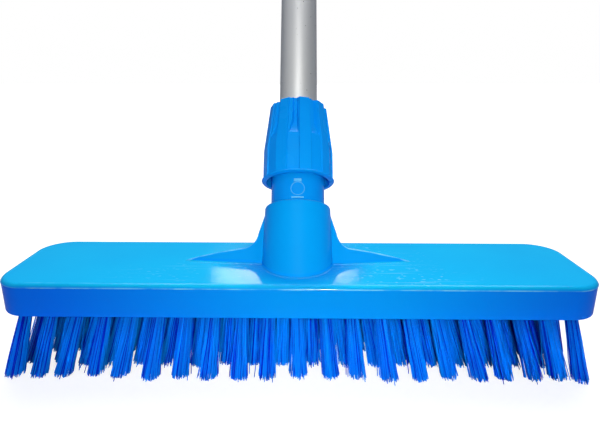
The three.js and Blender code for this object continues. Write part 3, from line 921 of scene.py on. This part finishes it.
def cap():
    """A plug in the tube, a collar on its end and a flat tab with the hanging eye."""
    base = TUBE_END + SEAT_GAP
    eye = CAP_TOP - CAP_RADIUS
    profile = [
        (PLUG_RADIUS - CHAMFER, PLUG_START),
        (PLUG_RADIUS, PLUG_START + CHAMFER),
        (PLUG_RADIUS, base),
        (CAP_RADIUS, base),
    ]
    profile += arc((0, eye), CAP_RADIUS, start=0, stop=87, steps=12)
    piece = turned("cap", profile)
    tab_height = CAP_TOP - base
    for side in (-1, 1):
        middle = side * (CAP_TAB_HALF + CAP_RADIUS)
        place = (middle, 0, base + CAP_COLLAR + tab_height)
        cut(piece, box("flat", (2 * CAP_RADIUS, 4 * CAP_RADIUS, 2 * tab_height), place))
    cut(piece, cross_pin("eye", CAP_EYE_RADIUS, 2 * CAP_RADIUS, eye))
    cut(piece, rivet_hole())
    soften(piece, CAP_ROUND, angle=40)
    stand(piece)
    smooth(piece)
    return piece


def rivet():
    head_foot = TUBE_RADIUS + SEAT_GAP
    dome = [(RIVET_HEAD_RADIUS * across, head_foot + RIVET_HEAD_HEIGHT * up) for across, up in RIVET_DOME]
    profile = [(radius, -height) for radius, height in reversed(dome)]
    profile += [(RIVET_RADIUS, -head_foot), (RIVET_RADIUS, head_foot)] + dome
    piece = turned("rivet", profile, PIN_SIDES)
    place = Matrix.Translation((0, 0, TUBE_END - RIVET_DEPTH)) @ Matrix.Rotation(math.pi / 2, 4, "Y")
    piece.data.transform(place)
    stand(piece)
    smooth(piece)
    return piece


# Material tools
def new_finish(name):
    finish = bpy.data.materials.new(name)
    finish.use_nodes = True
    return finish, finish.node_tree, finish.node_tree.nodes["Principled BSDF"]


def fill_in(tree, socket, value):
    """Links a node's output into a socket, or sets a plain value there."""
    if isinstance(value, bpy.types.NodeSocket):
        tree.links.new(value, socket)
    else:
        socket.default_value = value


def add(tree, kind, **inputs):
    """Adds a node and fills in the inputs that are named."""
    made = tree.nodes.new(kind)
    for name, value in inputs.items():
        fill_in(tree, made.inputs[name.replace("_", " ")], value)
    return made


def calc(tree, operation, *values):
    """Adds a math node for one or two values."""
    made = tree.nodes.new("ShaderNodeMath")
    made.operation = operation
    for socket, value in zip(made.inputs, values):
        fill_in(tree, socket, value)
    return made.outputs["Value"]


def between(tree, value, low, high, to_low=0.0, to_high=1.0):
    """Maps a value from one range to another and holds it at the ends."""
    made = add(
        tree, "ShaderNodeMapRange",
        Value=value, From_Min=low, From_Max=high, To_Min=to_low, To_Max=to_high)
    return made.outputs["Result"]


def tint(tree, share, first, second):
    """Mixes two colours."""
    made = tree.nodes.new("ShaderNodeMix")
    made.data_type = "RGBA"
    colours = [socket for socket in made.inputs if socket.type == "RGBA"]
    fill_in(tree, made.inputs["Factor"], share)
    for socket, colour in zip(colours, (first, second)):
        fill_in(tree, socket, colour)
    return next(socket for socket in made.outputs if socket.type == "RGBA")


def fade(tree, share, first, second):
    """Mixes two numbers."""
    made = tree.nodes.new("ShaderNodeMix")
    for socket, value in zip(made.inputs, (share, None, first, second)):
        if value is not None:
            fill_in(tree, socket, value)
    return made.outputs["Result"]


def own_place(tree, scale=(1, 1, 1), turn=(0, 0, 0)):
    """The piece's own coordinates, turned and then scaled for a pattern."""
    place = add(tree, "ShaderNodeTexCoord").outputs["Object"]
    upright = add(tree, "ShaderNodeMapping", Vector=place, Rotation=turn).outputs["Vector"]
    return add(tree, "ShaderNodeMapping", Vector=upright, Scale=scale).outputs["Vector"]


def grain(tree, place, scale, detail=2.0):
    made = add(tree, "ShaderNodeTexNoise", Vector=place, Scale=scale, Detail=detail)
    return made.outputs["Fac"]


def stretched_grain(tree, repeats, detail=2.0, turn=(0, 0, 0)):
    """Grain with its own number of repeats in a metre along each axis."""
    return grain(tree, own_place(tree, repeats, turn), 1.0, detail)


def axis_part(tree, vector, axis):
    return add(tree, "ShaderNodeSeparateXYZ", Vector=vector).outputs[axis]


def length(tree, vector):
    made = add(tree, "ShaderNodeVectorMath", Vector=vector)
    made.operation = "LENGTH"
    return made.outputs["Value"]


def attribute(tree, name):
    """A number that the piece keeps on its points or faces."""
    made = tree.nodes.new("ShaderNodeAttribute")
    made.attribute_name = name
    return made.outputs["Fac"]


def paint(tree, shader, colour):
    tree.links.new(colour, shader.inputs["Base Color"])


def roughen(tree, shader, pattern, low, high):
    """Lets the roughness follow a pattern from one level to another."""
    tree.links.new(between(tree, pattern, *GRAIN_MIDDLE, low, high), shader.inputs["Roughness"])


def relief(tree, shader, height, depth):
    """Gives a surface relief of that depth in metres."""
    made = add(tree, "ShaderNodeBump", Height=height, Distance=depth, Strength=1.0)
    tree.links.new(made.outputs["Normal"], shader.inputs["Normal"])


# Finishes: colours, and patterns as repeats in a metre
HANDLE_TURN = (LEAN, 0, 0)
GRAIN_MIDDLE = (0.3, 0.7)
PLASTIC_GLOSS = 0.06
WALL_BLUE = (0.0004, 0.285, 0.920, 1)
WALL_PALE = (0.0006, 0.325, 0.960, 1)
# Painted shade: the walls' blue deepens to this at both ends, where the light falls off
WALL_END_SHADE_BLUE = (0.0006, 0.185, 1.000, 1)
# Painted light and shade: socket and wings are the walls' plastic, in a tone for how light falls on them
SOCKET_LIT_BLUE = (0.0004, 0.300, 0.800, 1)
SOCKET_LIT_PALE = (0.0006, 0.340, 0.840, 1)
# Painted light: the upper face is paler and greener than the walls, as it catches more light
TOP_LIT_BLUE = (0.0020, 0.410, 0.740, 1)
TOP_LIT_PALE = (0.0030, 0.490, 0.780, 1)
# Painted shade of the socket on the top, round its foot
SOCKET_SHADOW_BLUE = (0.0010, 0.240, 0.660, 1)
# Colour of the painted highlights on edges, ridges, rims and raised marks
PAINTED_HIGHLIGHT_PALE = (0.180, 0.640, 0.950, 1)
# Scratches and flecks, painted white as the glints they catch
SCUFF_GLINT_WHITE = (0.420, 0.780, 0.960, 1)
SCUFF_SHARE = 0.35
BLOCK_CLOUD = 22.0
BLOCK_WAVES = 60.0
BLOCK_WAVE_DEPTH = 0.00012
BLOCK_ROUGHNESS = 0.11
SOCKET_ROUGHNESS = 0.32
SCUFF_ROUGHNESS = 0.45
WORN_CLOUD = 14.0
SCRATCHES = (26, 1100, 30)
FLECKS = (420, 1300, 420)
# Patches that break up the painted highlights, which keep at least this share
HIGHLIGHT_PATCHES = (90, 90, 90)
HIGHLIGHT_LEAST = 0.15

# Where the block's finish changes, from none to full
# Painted shade on the walls: lightest at this X, deepening over the range towards both ends
PAINTED_LIGHT_CENTRE_X = 0.02
PAINTED_FALLOFF_RANGE = (0.03, 0.14)
# Faces that count as the upper face or its lip, which get the painted light of the top
FLAT_UPWARD = (0.9, 0.995)
LIP_UPWARD = (0.25, 0.7)
LIP_HEIGHTS = (BLOCK_TOP + 0.001, BLOCK_TOP + 0.0003)
SOCKET_HEIGHTS = (BLOCK_TOP + 0.0005, BLOCK_TOP + 0.002)
# Painted shade round the socket: full within the first distance from its axis, gone past the second
SOCKET_SHADOW_RANGE = (0.022, 0.042)
NEAR_SOCKET = (0.105, 0.070)
WORN_RANGE = (0.40, 0.60)
SCRATCH_RANGE = (0.68, 0.78)
FLECK_RANGE = (0.71, 0.83)
HIGHLIGHT_RANGE = (0.42, 0.62)


def block_scuffs_and_glints(tree, place, from_socket):
    """Scratches and flecks on the top, round the socket: real scuffs, painted white as the glints they
    catch.
    """
    near = between(tree, from_socket, *NEAR_SOCKET)
    worn = between(tree, grain(tree, place, WORN_CLOUD), *WORN_RANGE)
    scratches = between(tree, stretched_grain(tree, SCRATCHES, detail=1.0), *SCRATCH_RANGE)
    flecks = between(tree, stretched_grain(tree, FLECKS, detail=0.0), *FLECK_RANGE)
    marks = calc(tree, "MAXIMUM", scratches, flecks)
    return calc(tree, "MULTIPLY", marks, calc(tree, "MULTIPLY", worn, near))


def block_walls(tree, place, cloud, above):
    """Blue with painted shade deepening towards both ends, and a lit copy of it on socket and wings."""
    off_lit_centre = calc(tree, "SUBTRACT", axis_part(tree, place, "X"), PAINTED_LIGHT_CENTRE_X)
    end_shade = between(tree, calc(tree, "ABSOLUTE", off_lit_centre), *PAINTED_FALLOFF_RANGE)
    walls = tint(tree, end_shade, tint(tree, cloud, WALL_BLUE, WALL_PALE), WALL_END_SHADE_BLUE)
    # Socket and wings take their tone of painted light and shade
    return tint(tree, above, walls, tint(tree, cloud, SOCKET_LIT_BLUE, SOCKET_LIT_PALE))


def block_plastic():
    """Glossy moulded plastic, satin on socket and wings; its top painted paler as lit, and scuffed with
    painted glints.
    """
    finish, tree, shader = new_finish("block plastic")
    place = own_place(tree)
    height = axis_part(tree, place, "Z")
    upward = axis_part(tree, add(tree, "ShaderNodeTexCoord").outputs["Normal"], "Z")
    is_flat = between(tree, upward, *FLAT_UPWARD)
    is_lip = calc(tree, "MULTIPLY", between(tree, upward, *LIP_UPWARD), between(tree, height, *LIP_HEIGHTS))
    is_top = calc(tree, "MAXIMUM", is_flat, is_lip)
    above = between(tree, height, *SOCKET_HEIGHTS)
    from_socket = length(tree, own_place(tree, (1, 1, 0)))
    cloud = grain(tree, place, BLOCK_CLOUD)
    walls = block_walls(tree, place, cloud, above)
    # Painted shade of the socket on the top, fading out with distance from its axis
    clear_of_shadow = between(tree, from_socket, *SOCKET_SHADOW_RANGE)
    # Upper face: painted light, paler than the walls, with painted shade beside the socket
    lit_tops = tint(tree, clear_of_shadow, SOCKET_SHADOW_BLUE, tint(tree, cloud, TOP_LIT_BLUE, TOP_LIT_PALE))
    # Painted highlights along the block's edges, broken up in patches
    patches = between(tree, stretched_grain(tree, HIGHLIGHT_PATCHES, detail=3.0), *HIGHLIGHT_RANGE, HIGHLIGHT_LEAST)
    highlight_share = calc(tree, "MULTIPLY", attribute(tree, "rub"), patches)
    scuffs_and_glints = calc(tree, "MULTIPLY", block_scuffs_and_glints(tree, place, from_socket), is_flat)
    colour = tint(tree, highlight_share, tint(tree, is_top, walls, lit_tops), PAINTED_HIGHLIGHT_PALE)
    paint(tree, shader, tint(tree, calc(tree, "MULTIPLY", scuffs_and_glints, SCUFF_SHARE), colour, SCUFF_GLINT_WHITE))
    unworn = fade(tree, above, BLOCK_ROUGHNESS, SOCKET_ROUGHNESS)
    tree.links.new(fade(tree, scuffs_and_glints, unworn, SCUFF_ROUGHNESS), shader.inputs["Roughness"])
    shader.inputs["Specular IOR Level"].default_value = PLASTIC_GLOSS
    relief(tree, shader, grain(tree, place, BLOCK_WAVES, detail=1.0), BLOCK_WAVE_DEPTH)
    return finish


NUT_BLUE = (0.0010, 0.290, 0.860, 1)
NUT_PALE = (0.0016, 0.330, 0.900, 1)
NUT_ROUGHNESS = (0.20, 0.30)
NECK_BLUE = (0.0006, 0.280, 0.860, 1)
NECK_PALE = (0.0010, 0.320, 0.900, 1)
NECK_ROUGHNESS = (0.12, 0.22)
CAP_ROUGHNESS = (0.32, 0.42)
COLLET_GREY = (0.55, 0.57, 0.58, 1)
COLLET_PALE = (0.66, 0.67, 0.67, 1)
COLLET_ROUGHNESS = (0.36, 0.46)
FLOW_MARKS = 45.0
MOULD_GRAIN = 160.0
MOULD_GRAIN_DEPTH = 0.00004


def fitting_plastic(name, deep, pale, roughness):
    """Moulded plastic with faint flow marks, and painted pale where a piece marks painted highlights."""
    finish, tree, shader = new_finish(name)
    place = own_place(tree, turn=HANDLE_TURN)
    cloud = grain(tree, place, FLOW_MARKS)
    paint(tree, shader, tint(tree, attribute(tree, "rub"), tint(tree, cloud, deep, pale), PAINTED_HIGHLIGHT_PALE))
    roughen(tree, shader, cloud, *roughness)
    shader.inputs["Specular IOR Level"].default_value = PLASTIC_GLOSS
    relief(tree, shader, grain(tree, place, MOULD_GRAIN, detail=1.0), MOULD_GRAIN_DEPTH)
    return finish


# Painted shadow: the blue of the filaments that are painted dark
BRISTLE_SHADOW_BLUE = (0.0002, 0.014, 0.560, 1)
BRISTLE_BRIGHT = (0.0010, 0.285, 0.950, 1)
BRISTLE_TIP = (0.010, 0.300, 0.880, 1)
TIP_WEAR_HEIGHT = 0.0022
TIP_WEAR_SHARE = 0.3
BRISTLE_ROUGHNESS = 0.38
BRISTLE_GRAIN = (900, 900, 160)
BRISTLE_GRAIN_DEPTH = 0.00004


def bristle_plastic():
    """Extruded filament with its own tone, some painted dark as shadow; tones even out a little at the cut
    tips.
    """
    finish, tree, shader = new_finish("bristle")
    colour = tint(tree, attribute(tree, "shade"), BRISTLE_SHADOW_BLUE, BRISTLE_BRIGHT)
    height = axis_part(tree, own_place(tree), "Z")
    worn = between(tree, height, TIP_WEAR_HEIGHT, 0.0, 0.0, TIP_WEAR_SHARE)
    paint(tree, shader, tint(tree, worn, colour, BRISTLE_TIP))
    shader.inputs["Roughness"].default_value = BRISTLE_ROUGHNESS
    shader.inputs["Specular IOR Level"].default_value = PLASTIC_GLOSS
    relief(tree, shader, stretched_grain(tree, BRISTLE_GRAIN), BRISTLE_GRAIN_DEPTH)
    return finish


TUBE_GREY = (0.74, 0.75, 0.75, 1)
TUBE_PALE = (0.84, 0.84, 0.82, 1)
TUBE_CLOUD = (120, 120, 14)
TUBE_METALLIC = 0.75
TUBE_ROUGHNESS = (0.33, 0.46)
DRAWN_LINES = (2600, 2600, 9)
DRAWN_LINE_DEPTH = 0.00002
SPECK_DARK = (0.10, 0.10, 0.10, 1)
SPECKS = 900.0
SPECK_RANGE = (0.83, 0.88)


def satin_aluminium():
    """Drawn tube: fine lines along its length, and a few dark specks."""
    finish, tree, shader = new_finish("satin aluminium")
    lines = stretched_grain(tree, DRAWN_LINES, detail=3.0, turn=HANDLE_TURN)
    specks = between(tree, grain(tree, own_place(tree, turn=HANDLE_TURN), SPECKS, detail=0.0), *SPECK_RANGE)
    metal = tint(tree, stretched_grain(tree, TUBE_CLOUD, turn=HANDLE_TURN), TUBE_GREY, TUBE_PALE)
    paint(tree, shader, tint(tree, specks, metal, SPECK_DARK))
    shader.inputs["Metallic"].default_value = TUBE_METALLIC
    roughen(tree, shader, lines, *TUBE_ROUGHNESS)
    relief(tree, shader, lines, DRAWN_LINE_DEPTH)
    return finish


RIVET_PALE = (0.62, 0.62, 0.61, 1)
RIVET_ROUGHNESS = (0.27, 0.45)
STAPLE_BRASS = (0.50, 0.46, 0.38, 1)
STAPLE_ROUGHNESS = (0.32, 0.50)
METAL_WEAR = 700.0
METAL_WEAR_DEPTH = 0.00002
METAL_WORN_SHADE = 0.7


def plain_metal(name, colour, roughness):
    """Rolled wire or turned metal with fine wear."""
    finish, tree, shader = new_finish(name)
    worn = grain(tree, own_place(tree), METAL_WEAR, detail=3.0)
    dark = tuple(part * METAL_WORN_SHADE for part in colour[:3]) + (1,)
    paint(tree, shader, tint(tree, worn, dark, colour))
    shader.inputs["Metallic"].default_value = 1.0
    roughen(tree, shader, worn, *roughness)
    relief(tree, shader, worn, METAL_WEAR_DEPTH)
    return finish


RUBBER_DARK = (0.012, 0.013, 0.015, 1)
RUBBER_PALE = (0.028, 0.030, 0.033, 1)
RUBBER_ROUGHNESS = (0.65, 0.85)
RUBBER_PORES = 500.0
RUBBER_PORE_DEPTH = 0.00006


def seal_rubber():
    """Dull black rubber with fine pores."""
    finish, tree, shader = new_finish("seal rubber")
    pores = grain(tree, own_place(tree), RUBBER_PORES, detail=3.0)
    paint(tree, shader, tint(tree, pores, RUBBER_DARK, RUBBER_PALE))
    roughen(tree, shader, pores, *RUBBER_ROUGHNESS)
    relief(tree, shader, pores, RUBBER_PORE_DEPTH)
    return finish


# The brush
def dress(piece, finish, body, slot_name, *nodes):
    """Gives a piece its finish and ties it to the frame."""
    piece.data.materials.clear()
    piece.data.materials.append(finish)
    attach(piece, body)
    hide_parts(*nodes)


def refinish(node, finish):
    """Gives a CAD node that stays a better finish."""
    node.data.materials.clear()
    node.data.materials.append(finish)


def brush():
    bristle = bristle_plastic()
    staple = plain_metal("staple metal", STAPLE_BRASS, STAPLE_ROUGHNESS)
    neck_finish = fitting_plastic("neck plastic", NECK_BLUE, NECK_PALE, NECK_ROUGHNESS)
    nut_finish = fitting_plastic("nut plastic", NUT_BLUE, NUT_PALE, NUT_ROUGHNESS)
    cap_finish = fitting_plastic("cap plastic", NUT_BLUE, NUT_PALE, CAP_ROUGHNESS)
    collet_finish = fitting_plastic("collet plastic", COLLET_GREY, COLLET_PALE, COLLET_ROUGHNESS)
    rivet_finish = plain_metal("rivet metal", RIVET_PALE, RIVET_ROUGHNESS)
    dress(block(), block_plastic(), "head", "block_plastic", "brush_block")
    for number, place in enumerate(tuft_places(0), start=1):
        tuft = filaments(f"tuft_{number:02}", [place], seed=number)
        dress(tuft, bristle, "head", "bristle", f"front_tuft_{number:02}")
    for row in range(1, ROW_COUNT):
        tufts = filaments(f"row_{row + 1}", tuft_places(row), seed=FIRST_ROW_SEED + row)
        dress(tufts, bristle, "head", "bristle", f"tuft_row_{row + 1}")
    dress(neck(), neck_finish, "neck", "fitting_plastic", "neck_fitting")
    dress(nut(), nut_finish, "nut", "fitting_plastic", "clamp_nut")
    dress(tube(), satin_aluminium(), "tube", "satin_aluminium", "handle_tube")
    dress(cap(), cap_finish, "tube", "cap_plastic", "hanger_cap")
    dress(rivet(), rivet_finish, "tube", "rivet_metal", "cap_rivet")
    for name, node in frame["nodes"].items():
        if name.startswith("front_anchor"):
            refinish(node, staple)
    refinish(frame["nodes"]["seal_washer"], seal_rubber())
    refinish(frame["nodes"]["collet"], collet_finish)


# Camera, light and floor
CAMERA_PLACE = (0.00212, -0.249703, 0.152113)
CAMERA_PITCH = 16.425
CAMERA_TURN = 0.852
CAMERA_LENS = 29.71
CAMERA_SHIFT = 0.00928
SENSOR_WIDTH = 36
CLIP_START = 0.01
KEY_PLACE = (0.02, -0.27, 0.17)
KEY_SIZE = (0.035, 0.035)
KEY_POWER = 0.15
KEY_WARM = (1.0, 0.98, 0.76)
KEY_SPREAD = math.radians(90)
OVERHEAD_PLACE = (0.3, 3.2, 4.64)
OVERHEAD_SIZE = (5.6, 5.6)
OVERHEAD_POWER = 336.0
WINDOW_PLACE = (-0.048, 1.2, 0.568)
WINDOW_SIZE = (0.465, 0.060)
WINDOW_POWER = 1.0
WINDOW_COOL = (0.84, 1.0, 1.0)
STREAK_PLACE = (-0.01, -0.55, 1.0)
STREAK_SIZE = (0.80, 0.5)
STREAK_POWER = 1.3
LOW_PLACE = (0.05, -0.32, 0.012)
LOW_SIZE = (0.50, 0.020)
LOW_POWER = 0.036
LOW_BLUE = (0.40, 0.66, 1.0)
LOW_SPREAD = math.radians(12)
AMBIENT_LEVEL = 0.34
AMBIENT_BLUE = (0.24, 0.42, 1.0, 1)
ROOM_UPWARD = (0.2, 0.9)
ROOM_LEVELS = (0.15, 0.3)
GLOW_TOWARDS = (-0.35, -0.1, 0.93)
GLOW_RANGE = (0.45, 1.0)
GLOW_LEVELS = (0.0, 0.26)
WHITE = (1, 1, 1, 1)
FLOOR_SIZE = 12
FLOOR_GREY = (0.38, 0.37, 0.35, 1)
FLOOR_ROUGHNESS = 0.9
FLOOR_FADE = (0.15, 0.9)
FLOOR_WHITE_LEVELS = (0.81, 1.0)


def photo_camera():
    """The photograph's view: pitch down and turn are in degrees."""
    turn = (math.radians(90 - CAMERA_PITCH), 0, math.radians(CAMERA_TURN))
    bpy.ops.object.camera_add(location=CAMERA_PLACE, rotation=turn)
    camera = bpy.context.object
    camera.data.lens = CAMERA_LENS
    camera.data.sensor_width = SENSOR_WIDTH
    camera.data.shift_x = CAMERA_SHIFT
    camera.data.clip_start = CLIP_START
    bpy.context.scene.camera = camera


def soft_light(name, place, target, size, power, colour=WHITE[:3], spread=math.pi):
    """An oval area lamp that shines from its place towards its target."""
    bpy.ops.object.light_add(type="AREA", location=place)
    lamp = bpy.context.object
    lamp.name = name
    lamp.data.shape = "ELLIPSE"
    lamp.data.size, lamp.data.size_y = size
    lamp.data.energy = power
    lamp.data.color = colour
    lamp.data.spread = spread
    lamp.rotation_euler = (Vector(target) - Vector(place)).to_track_quat("-Z", "Y").to_euler()
    lamp.visible_camera = False


def pale_floor():
    """Grey enough to keep the shadow, and nearly white to the camera."""
    deselect()
    bpy.ops.mesh.primitive_plane_add(size=FLOOR_SIZE, location=(0, 0, 0))
    floor = keep("floor")
    finish, tree, shader = new_finish("pale floor")
    shader.inputs["Base Color"].default_value = FLOOR_GREY
    shader.inputs["Roughness"].default_value = FLOOR_ROUGHNESS
    shader.inputs["Specular IOR Level"].default_value = 0.0
    whiten = between(tree, length(tree, own_place(tree)), *FLOOR_FADE, *FLOOR_WHITE_LEVELS)
    rays = add(tree, "ShaderNodeLightPath")
    seen = calc(tree, "MULTIPLY", whiten, rays.outputs["Is Camera Ray"])
    shader.inputs["Emission Color"].default_value = WHITE
    tree.links.new(seen, shader.inputs["Emission Strength"])
    floor.data.materials.append(finish)


def white_world():
    """White to the camera, a dim room to reflections, and soft bluish light."""
    world = bpy.data.worlds.new("white world")
    bpy.context.scene.world = world
    world.use_nodes = True
    tree = world.node_tree
    back = tree.nodes["Background"]
    rays = add(tree, "ShaderNodeLightPath")
    mirrored = calc(tree, "MAXIMUM", rays.outputs["Is Glossy Ray"], rays.outputs["Is Transmission Ray"])
    seen = calc(tree, "MAXIMUM", rays.outputs["Is Camera Ray"], mirrored)
    direction = add(tree, "ShaderNodeTexCoord").outputs["Generated"]
    room = between(tree, axis_part(tree, direction, "Z"), *ROOM_UPWARD, *ROOM_LEVELS)
    towards = tree.nodes.new("ShaderNodeVectorMath")
    towards.operation = "DOT_PRODUCT"
    fill_in(tree, towards.inputs[0], direction)
    fill_in(tree, towards.inputs[1], GLOW_TOWARDS)
    glow = between(tree, towards.outputs["Value"], *GLOW_RANGE, *GLOW_LEVELS)
    indirect = fade(tree, mirrored, AMBIENT_LEVEL, calc(tree, "ADD", room, glow))
    tree.links.new(fade(tree, rays.outputs["Is Camera Ray"], indirect, 1.0), back.inputs["Strength"])
    tree.links.new(tint(tree, seen, AMBIENT_BLUE, WHITE), back.inputs["Color"])


def studio():
    photo_camera()
    pale_floor()
    white_world()
    block_middle = (0, 0, BLOCK_TOP)
    neck_middle = on_handle(0, 0, NUT_START / 2)
    straight_back = (LOW_PLACE[0], 0, LOW_PLACE[2])
    soft_light("key", KEY_PLACE, neck_middle, KEY_SIZE, KEY_POWER, KEY_WARM, KEY_SPREAD)
    soft_light("overhead", OVERHEAD_PLACE, block_middle, OVERHEAD_SIZE, OVERHEAD_POWER)
    soft_light("window", WINDOW_PLACE, block_middle, WINDOW_SIZE, WINDOW_POWER, WINDOW_COOL)
    soft_light("streak", STREAK_PLACE, neck_middle, STREAK_SIZE, STREAK_POWER)
    soft_light("low", LOW_PLACE, straight_back, LOW_SIZE, LOW_POWER, LOW_BLUE, LOW_SPREAD)
    bpy.context.scene.view_settings.view_transform = "Standard"


studio()
brush()
